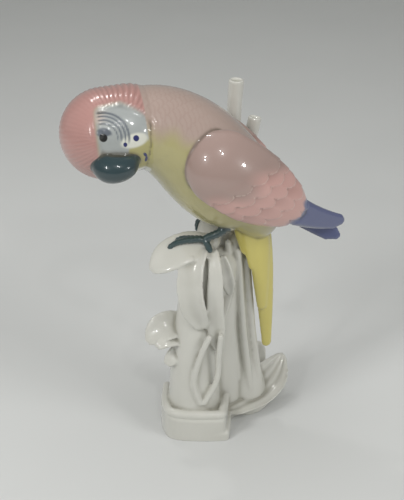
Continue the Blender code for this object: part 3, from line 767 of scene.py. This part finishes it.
def dress_bird():
    """The bird, with its relief raised in the mesh and the reach of each paint kept on its vertices."""
    bird, forms = fused("bird", (body, head, wings, tail, feet))
    places = vertex_places(bird)
    normals = vertex_normals(bird)
    x, up, f, side, c, far = head_chart(places)
    swept = forms.swept
    body_s, body_x, _, _ = place_on(swept["body"], places)

    gap = {part: nearest_of(forms, part, places) for part in BIRD_PARTS}
    wing_gap = np.minimum(gap["coverts_near"], gap["coverts_far"])
    flight_gap = np.minimum(gap["flight_near"], gap["flight_far"])

    # the head counts as far as the crease behind the hood
    neck_side = dots(places - np.array(HEAD), -NECK_WAY) / MM
    on_head = 1 - step_up(CREASE_AT - 0.5, CREASE_AT + 0.7, neck_side)
    face = face_share(f, c) * on_head
    hooded = (1 - face) * on_head
    beak_gap = gap["beak"]

    # relief
    lift = np.zeros(len(places))
    turn = ridge_turn(f, side, c)
    ridge_strength = 0.25 + 0.75 * step_up(-0.2, 0.5, -c - 0.2 * f)
    ridge_strength += 0.35 * step_up(0.3, 0.6, f) * step_up(0.1, 0.4, c)
    ridge_wave = np.cos(HOOD_RIDGES * turn)
    lift += hooded * ridge_strength * ridge_wave * RIDGE_RELIEF * step_up(0.3, 1.0, beak_gap)
    eye_far = np.hypot(x - EYE_AT[0], up - EYE_AT[1])
    eye_turn = np.degrees(np.arctan2(up - EYE_AT[1], x - EYE_AT[0]))
    arc_fade = step_up(-22, 5, eye_turn) * (1 - step_up(95, 118, eye_turn))
    line_gap = np.full(len(places), 9.0)
    for radius, half in FACE_LINES:
        line_gap = np.minimum(line_gap, np.abs(eye_far - radius) - half)
    on_lines = face * arc_fade * (eye_far < FACE_REACH)
    lift -= on_lines * FACE_LINE_DEPTH * (1 - step_up(-0.4, 0.6, line_gap))

    nape_s = neck_side - CREASE_AT
    body_turn = np.arctan2(body_x, np.sqrt(np.maximum(0, 22**2 - np.minimum(body_x**2, 22**2))))
    nape_rise, nape_edge, _ = scales(nape_s, body_x + body_turn * 6, NAPE_ROWS)
    on_nape = step_up(0.0, 1.5, nape_s) * (1 - step_up(16, 40, nape_s)) * step_up(1.0, 2.2, wing_gap)
    lift += on_nape * (nape_rise - 0.5) * NAPE_RELIEF

    wing_s = np.zeros(len(places))
    wing_t = np.zeros(len(places))
    for which in ("near", "far"):
        s, t, _, _ = place_on(swept[f"coverts_{which}"], places)
        mine = gap[f"coverts_{which}"] <= wing_gap + 1e-9
        wing_s[mine] = s[mine]
        wing_t[mine] = t[mine]
    slanted = wing_s + ROW_SLANT * wing_t
    rise, edge, tone = scales(slanted, wing_t, WING_ROWS)
    on_wing = 1 - step_up(0.8, 1.8, wing_gap)
    feathered = on_wing * step_up(24, 30, slanted)
    lift += feathered * (rise - 0.4) * WING_RELIEF

    toe_s = np.zeros(len(places))
    for name in ("foot_toe_0", "foot_toe_1", "foot_far_toe", "foot_leg"):
        s, _, out, _ = place_on(swept[name], places)
        close = out < 1.0
        toe_s[close] = s[close]
    lift += (gap["foot"] < 0.8) * np.cos(toe_s * math.tau / TOE_RING_SPACING) * TOE_RING_RELIEF

    places = places + normals * (lift * MM)[:, None]
    set_places(bird, places)
    hollow = hollows(bird)

    # the paint's fields: mm inside the field's edge, or a share from 0 to 1
    axis = np.array(TO_RUMP[STATIONS // 2] - TO_NECK[STATIONS // 2])
    dorsal = np.cross(axis, np.array(heading(*SIDE_HEADING)))
    dorsal /= np.linalg.norm(dorsal)
    dorsal *= np.sign(dorsal[2])
    line = swept["body"][:, 0:3]
    nearest = np.zeros(len(places), int)
    best = np.full(len(places), np.inf)
    for i, point in enumerate(line):
        d = ((places - point) ** 2).sum(1)
        closer = d < best
        best[closer] = d[closer]
        nearest[closer] = i
    height = dots(places - line[nearest], dorsal) / BODY_RADIUS
    back_share = step_up(-0.15, 0.42, height + 0.12 * np.sin(body_s * 0.5) * 0.4)
    rump_share = step_up(92, 100, body_s)

    spots_gap = np.full(len(places), 9.0)
    for centre, radii, tilt in THROAT_SPOTS:
        spots_gap = np.minimum(spots_gap, ellipse_gap(x, up, centre, radii, tilt))
    white_gap = ellipse_gap(x, up, *THROAT_WHITE)
    lobe_gap = ellipse_gap(x, up, *THROAT_LOBE)
    in_front = f > 0.2
    on_throat = in_front * (far < THROAT_REACH)
    slate = (1 - step_up(3.6, 5.0, eye_far)) * step_up(5, 40, eye_turn) * (1 - step_up(150, 178, eye_turn))

    fields = {
        "back": back_share,
        "nape_bars": on_nape * (1 - step_up(0.3, 1.3, nape_edge)) * step_up(0.0, 0.4, height),
        "rump": rump_share * step_up(0.5, 3.0, gap["tail"]),
        "thigh": 1 - step_up(0.5, 3.5, gap["thigh"]),
        "hood": hooded,
        # painted shade: the grooves between the hood's ridges are painted darker
        "hood_groove_shade": hooded * ridge_strength * (0.5 - 0.5 * ridge_wave),
        "face": face,
        "cream": face * (1 - step_up(-4, 6, x)) * step_up(-25, -12, -up - 10) * step_up(4, 9, eye_far),
        "slate": face * slate,
        "face_lines": on_lines * (1 - step_up(-0.35, 0.35, line_gap)),
        "throat": (1 - step_up(-0.8, 1.0, lobe_gap)) * on_throat,
        "throat_white": (1 - step_up(-0.9, 0.7, white_gap)) * on_throat,
        "throat_spots": -spots_gap * on_throat - 9 * ~on_throat,
        "beak": 0.7 - beak_gap,
        "eye": EYE_RADIUS / MM * 0.93 - eye_far * in_front - 9 * (~in_front),
        "wing": 0.9 - wing_gap,
        "wing_pink": step_up(24, 44, slanted - 4 * np.sin(wing_t * 0.3)),
        "wing_edges": feathered * (1 - step_up(0.15, 0.8, edge)) * 0.9,
        "feather_shade": feathered * (1 - step_up(0.0, 1.0, rise)) * (0.4 + 0.6 * tone),
        "flight": 0.8 - flight_gap,
        "flight_blue": step_up(56, 66, wing_s_full(swept, gap, places)),
        "tail": 0.8 - gap["tail"],
        "foot": 0.9 - gap["foot"],
        # how deep each groove is, for the painted shade in grooves and creases
        "hollow": np.clip(hollow, 0, 1.2),
    }
    for name, values in fields.items():
        keep_field(bird, name, np.asarray(values, float))
    return bird


def wing_s_full(swept, gap, places):
    """Mm along the whole wing, from the shoulder, for the flight feathers."""
    s = np.zeros(len(places))
    for which in ("near", "far"):
        start = swept[f"coverts_{which}"][0, 0:3]
        end = swept[f"flight_{which}_1"][-1, 0:3]
        way = (end - start) / np.linalg.norm(end - start)
        mine = gap[f"flight_{which}"] < 3
        s[mine] = (dots(places - start, way) / MM)[mine]
    return s


# the shell leaf has several shallow flutes, the others one wide hollow; depth in mm
SHELL_LEAF = "leaf_5"
SHELL_FLUTES = 5.0
FLUTE_DEPTH = 0.4
# the broken ends are hollow by this much, inside a rim
END_HOLLOW_DEPTH = 2.2 * MM


def dress_stump():
    """The stump, with hollows in its leaves and broken ends."""
    stump, forms = fused("stump", (foot, trunks, limb, leaves))
    places = vertex_places(stump)
    normals = vertex_normals(stump)
    lift = np.zeros(len(places))
    for name, form in forms.swept.items():
        if name.startswith("leaf"):
            _, _, out, share = place_on(form, places)
            near = out < 0.8
            flutes = SHELL_FLUTES if name == SHELL_LEAF else 1.0
            lift[near] -= (FLUTE_DEPTH * (0.5 + 0.5 * np.cos(share * flutes * math.pi)))[near]
    for name in ("limb", "side_twig"):
        form = forms.swept[name]
        end, way = form[-1, 0:3], form[-1, 0:3] - form[-2, 0:3]
        way = way / np.linalg.norm(way)
        rel = places - end
        over = dots(rel, way)
        away = np.linalg.norm(rel - over[:, None] * way, axis=1) / form[-1, 9]
        cup = (np.abs(over) < 1.2 * MM) & (away < 1.1)
        sunk = END_HOLLOW_DEPTH * (1 - step_up(0.45, 0.80, away[cup]))
        places[cup] -= way[None, :] * sunk[:, None]
    places = places + normals * (lift * MM)[:, None]
    places[:, 2] = np.maximum(places[:, 2], 0.0)
    set_places(stump, places)
    # how deep each hollow is, kept for the painted shade in them
    keep_field(stump, "hollow", np.clip(hollows(stump), 0, 1.2))
    return stump


def linear(code):
    """A colour written as sRGB hex, in the linear values that the shader takes."""
    values = [int(code[i : i + 2], 16) / 255 for i in (1, 3, 5)]
    return [v / 12.92 if v <= 0.04045 else ((v + 0.055) / 1.055) ** 2.4 for v in values] + [1.0]


def add(tree, kind, settings=(), inputs=(), links=()):
    """Adds a node with its settings, its sockets' values, and links as (socket, where it comes from)."""
    node = tree.nodes.new(kind)
    for name, value in settings:
        setattr(node, name, value)
    for name, value in inputs:
        node.inputs[name].default_value = value
    for name, source in links:
        tree.links.new(source, node.inputs[name])
    return node


CLOUDS_PER_METRE = 65.0
RIPPLES_PER_METRE = 110.0
RIPPLE_HEIGHT = 0.6 * MM


def glaze(name, base):
    """A clear glossy glaze over fired porcelain; base is the colour where nothing is painted."""
    material = bpy.data.materials.new(name)
    material.use_nodes = True
    tree = material.node_tree
    shader = tree.nodes["Principled BSDF"]
    shader.inputs["Roughness"].default_value = 0.28
    shader.inputs["IOR"].default_value = 1.5
    shader.inputs["Coat Weight"].default_value = 1.0
    shader.inputs["Coat Roughness"].default_value = 0.035
    shader.inputs["Coat IOR"].default_value = 1.52
    place = add(tree, "ShaderNodeTexCoord").outputs["Object"]
    # a hand-laid glaze varies a little in thickness over about 15 mm
    cloud = add(
        tree, "ShaderNodeTexNoise", inputs=(("Scale", CLOUDS_PER_METRE), ("Detail", 2.0)),
        links=(("Vector", place),),
    )
    tint = add(
        tree, "ShaderNodeMix", (("data_type", "RGBA"),), ((6, linear(base[0])), (7, linear(base[1]))),
        ((0, cloud.outputs["Fac"]),),
    )
    # and ripples by a few hundredths of a millimetre
    ripple = add(
        tree, "ShaderNodeTexNoise", inputs=(("Scale", RIPPLES_PER_METRE), ("Detail", 1.0)),
        links=(("Vector", place),),
    )
    bump = add(
        tree, "ShaderNodeBump", inputs=(("Strength", 0.12), ("Distance", RIPPLE_HEIGHT)),
        links=(("Height", ripple.outputs["Fac"]),),
    )
    tree.links.new(bump.outputs["Normal"], shader.inputs["Normal"])
    tree.links.new(bump.outputs["Normal"], shader.inputs["Coat Normal"])
    return material, tree, shader, tint.outputs[2]


def layer(tree, under, field, colour, low, high, strength=1.0):
    """Paints a colour over what is under it, where the field goes from low to high."""
    value = add(tree, "ShaderNodeAttribute", (("attribute_name", field),))
    cover = add(
        tree, "ShaderNodeMapRange", (("interpolation_type", "SMOOTHSTEP"),),
        (("From Min", low), ("From Max", high), ("To Max", strength)), (("Value", value.outputs["Fac"]),),
    )
    mixed = add(
        tree, "ShaderNodeMix", (("data_type", "RGBA"),), ((7, linear(colour)),),
        ((0, cover.outputs["Result"]), (6, under)),
    )
    return mixed.outputs[2]


# field, colour, then the field's value where the paint begins and where it is full, and its strength
BIRD_PAINT = (
    ("back", "#aa968c", 0.0, 1.0, 1.0),
    ("nape_bars", "#94776e", 0.0, 1.0, 0.2),
    ("rump", "#d2ab94", 0.0, 1.0, 0.8),
    ("thigh", "#d3d0b8", 0.0, 1.0, 0.8),
    ("hood", "#b1867f", 0.0, 1.0, 1.0),
    # painted shade in the grooves between the hood's ridges
    ("hood_groove_shade", "#8f6a63", 0.0, 1.0, 0.4),
    ("face", "#a0a4a2", 0.0, 1.0, 1.0),
    ("cream", "#cdb9ad", 0.0, 1.0, 1.0),
    ("throat", "#a8a168", 0.0, 1.0, 1.0),
    ("throat_white", "#d6d6ca", 0.0, 1.0, 1.0),
    ("slate", "#5d636b", 0.0, 1.0, 1.0),
    ("face_lines", "#5f666f", 0.0, 1.0, 0.9),
    ("throat_spots", "#1f2560", -0.15, 0.25, 1.0),
    ("wing", "#9f8880", -0.4, 0.4, 1.0),
    ("beak", "#22383d", -0.3, 0.3, 1.0),
    ("eye", "#050505", -0.2, 0.2, 1.0),
    ("foot", "#2f4446", -0.4, 0.3, 1.0),
)


def painted_bird(thing):
    """Underglaze painting on porcelain: soft edges, a little uneven, under one even gloss, with painted shade
    darkening its grooves and creases.
    """
    material, tree, shader, colour = glaze("painted_glazed_porcelain", ("#b3ab7c", "#a59e6c"))
    for field, paint, low, high, strength in BIRD_PAINT:
        colour = layer(tree, colour, field, paint, low, high, strength)
    wing = layer(tree, colour, "wing_pink", "#c69c94", 0.0, 1.0, 1.0)
    wing = layer(tree, wing, "feather_shade", "#98746c", 0.0, 1.0, 0.4)
    wing = layer(tree, wing, "wing_edges", "#d2bbae", 0.0, 1.0, 0.5)
    flight = layer(tree, wing, "flight_blue", "#545b80", 0.0, 1.0, 1.0)
    # painted shade: the grooves between the flight feathers are painted dark blue
    flight = layer(tree, flight, "hollow", "#23284a", 0.02, 0.35, 0.8)
    covers = (("wing", -0.4, 0.4, wing), ("flight", -0.4, 0.3, flight))
    for field, low, high, source in covers:
        value = add(tree, "ShaderNodeAttribute", (("attribute_name", field),))
        cover = add(
            tree, "ShaderNodeMapRange", (("interpolation_type", "SMOOTHSTEP"),),
            (("From Min", low), ("From Max", high)), (("Value", value.outputs["Fac"]),),
        )
        mixed = add(
            tree, "ShaderNodeMix", (("data_type", "RGBA"),), (),
            ((0, cover.outputs["Result"]), (6, colour), (7, source)),
        )
        colour = mixed.outputs[2]
    colour = layer(tree, colour, "tail", "#c9bd66", -0.4, 0.3, 1.0)
    # painted shade: grooves and creases all over the bird are painted a darker olive
    colour = layer(tree, colour, "hollow", "#4a4230", 0.03, 0.5, 0.65)
    tree.links.new(colour, shader.inputs["Base Color"])
    thing.data.materials.clear()
    thing.data.materials.append(material)


def white_stump(thing):
    """Unpainted white porcelain under a clear glaze, with painted shade darkening its hollows."""
    material, tree, shader, colour = glaze("white_glazed_porcelain", ("#cfcec6", "#c4c3ba"))
    # painted shade: the hollows are painted a darker grey, the deeper ones more
    colour = layer(tree, colour, "hollow", "#8d8a7b", 0.0, 0.8, 0.75)
    tree.links.new(colour, shader.inputs["Base Color"])
    thing.data.materials.clear()
    thing.data.materials.append(material)


# Stage
FLOOR_SIZE = 3.0
CURVE_AT = 0.9
CURVE_RADIUS = 0.6
CURVE_STEPS = 40
FLOOR_COLOUR = "#d2d3d1"
BACKDROP_COLOUR = "#cbccca"


def stage():
    """A pale matt floor that curves up into the backdrop."""
    rows = []
    for i in range(CURVE_STEPS):
        turn = math.radians(90 * i / (CURVE_STEPS - 1))
        rows.append((CURVE_AT + CURVE_RADIUS * math.sin(turn), CURVE_RADIUS - CURVE_RADIUS * math.cos(turn)))
    profile = [(-FLOOR_SIZE, 0.0)] + rows + [(CURVE_AT + CURVE_RADIUS, FLOOR_SIZE)]
    points = []
    for y, z in profile:
        for x in (-FLOOR_SIZE, FLOOR_SIZE):
            points.append((x, y, z))
    faces = [(2 * i, 2 * i + 1, 2 * i + 3, 2 * i + 2) for i in range(len(profile) - 1)]
    mesh = bpy.data.meshes.new("floor")
    mesh.from_pydata(points, [], faces)
    mesh.shade_smooth()
    floor = bpy.data.objects.new("floor", mesh)
    bpy.context.scene.collection.objects.link(floor)
    material = bpy.data.materials.new("matt_paper")
    material.use_nodes = True
    tree = material.node_tree
    shader = tree.nodes["Principled BSDF"]
    shader.inputs["Roughness"].default_value = 0.9
    place = add(tree, "ShaderNodeTexCoord").outputs["Object"]
    # the paper's tone drifts over hand-sized patches
    grain = add(
        tree, "ShaderNodeTexNoise", inputs=(("Scale", 6.0), ("Detail", 3.0)), links=(("Vector", place),),
    )
    colours = ((6, linear(FLOOR_COLOUR)), (7, linear(BACKDROP_COLOUR)))
    tint = add(tree, "ShaderNodeMix", (("data_type", "RGBA"),), colours, ((0, grain.outputs["Fac"]),))
    tree.links.new(tint.outputs[2], shader.inputs["Base Color"])
    mesh.materials.append(material)


LIT_PLACE = Vector((0.0, 0.0, 0.1))
WORLD_COLOUR = "#c9cac8"
WORLD_STRENGTH = 0.55
LAMPS = (
    # name, place, side of the square in metres, watts, whether the glaze mirrors it
    ("overhead", (-0.1, 0.1, 1.0), 0.5, 1.5, False),
    ("key_left", (-0.6, -0.45, 0.7), 0.2, 3.0, False),
    ("fill_right", (0.7, -0.35, 0.65), 0.3, 2.2, False),
    ("glint_left_high", (-0.42, -0.62, 0.62), 0.045, 0.45, True),
    ("glint_left_low", (-0.42, -0.68, 0.52), 0.045, 0.45, True),
    ("glint_right_high", (0.10, -0.62, 0.85), 0.045, 0.45, True),
    ("glint_right_low", (0.18, -0.70, 0.76), 0.045, 0.45, True),
    ("glint_side", (0.55, -0.50, 0.35), 0.045, 0.45, True),
    ("glint_behind", (-0.25, 0.35, 0.80), 0.045, 0.45, True),
)


def lights():
    """Soft studio light from three broad lamps, with small ones that give the glaze its glints."""
    for name, place, size, power, mirrored in LAMPS:
        light = bpy.data.lights.new(name, "AREA")
        light.shape = "SQUARE"
        light.size = size
        light.energy = power
        thing = bpy.data.objects.new(name, light)
        bpy.context.scene.collection.objects.link(thing)
        thing.location = place
        thing.rotation_euler = (LIT_PLACE - Vector(place)).to_track_quat("-Z", "Y").to_euler()
        thing.visible_glossy = mirrored
    world = bpy.data.worlds.new("studio")
    bpy.context.scene.world = world
    world.use_nodes = True
    background = world.node_tree.nodes["Background"]
    background.inputs["Color"].default_value = linear(WORLD_COLOUR)
    background.inputs["Strength"].default_value = WORLD_STRENGTH


CAMERA_TARGET = Vector((-0.007, 0.0, 0.100))
CAMERA_DISTANCE = 0.490
CAMERA_ELEVATION = 30
LENS = 70


def camera():
    lens = bpy.data.cameras.new("camera")
    lens.lens = LENS
    lens.clip_start = 0.01
    thing = bpy.data.objects.new("camera", lens)
    bpy.context.scene.collection.objects.link(thing)
    thing.location = CAMERA_TARGET + heading(-90, CAMERA_ELEVATION) * CAMERA_DISTANCE
    thing.rotation_euler = (CAMERA_TARGET - thing.location).to_track_quat("-Z", "Y").to_euler()
    bpy.context.scene.camera = thing


bird = dress_bird()
stump = dress_stump()
painted_bird(bird)
white_stump(stump)
for piece in (bird, stump):
    fit_inside(piece, *CAD_BOX)
    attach(piece, "root")
    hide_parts("figurine")
stage()
lights()
camera()
bpy.context.scene.view_settings.view_transform = "Standard"
